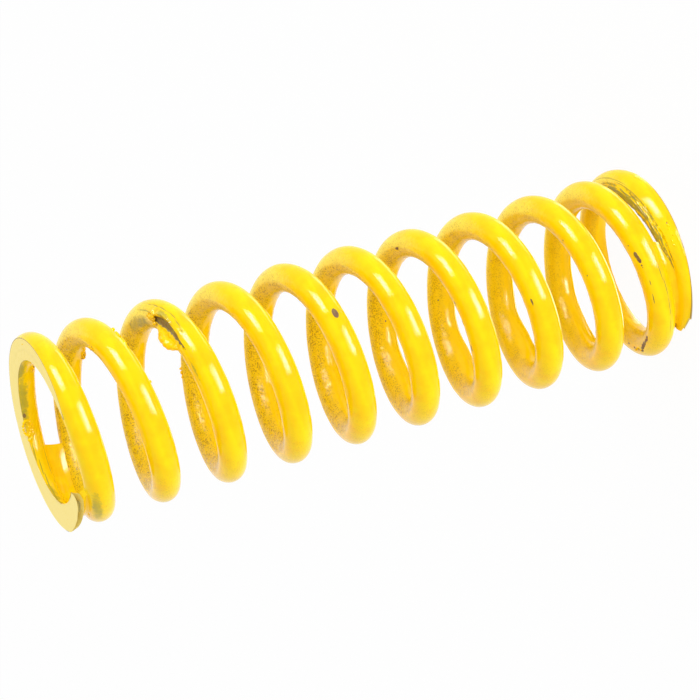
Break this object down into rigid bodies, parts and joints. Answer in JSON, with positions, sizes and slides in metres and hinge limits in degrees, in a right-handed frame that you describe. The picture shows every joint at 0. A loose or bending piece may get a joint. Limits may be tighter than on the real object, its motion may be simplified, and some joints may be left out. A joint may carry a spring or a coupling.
{
  "type": "clutch spring",
  "caption": "Helical compression spring of round wire with closed ends ground flat, painted yellow, for pressing a clutch together.",
  "frame": {"origin": "centre of the base ring, on the coil's axis, in the plane of the ground face that the spring stands on", "axes": "+Z along the coil's axis from the base to the top, +X from the axis through the wire's base tip"},
  "size_m": [0.0274, 0.0274, 0.093],
  "materials": {
    "yellow_paint": "glossy dipped enamel over steel wire, rough inside the coil"
  },
  "bodies": {
    "root": {"clutch_spring": "yellow_paint"}
  },
  "joints": []
}
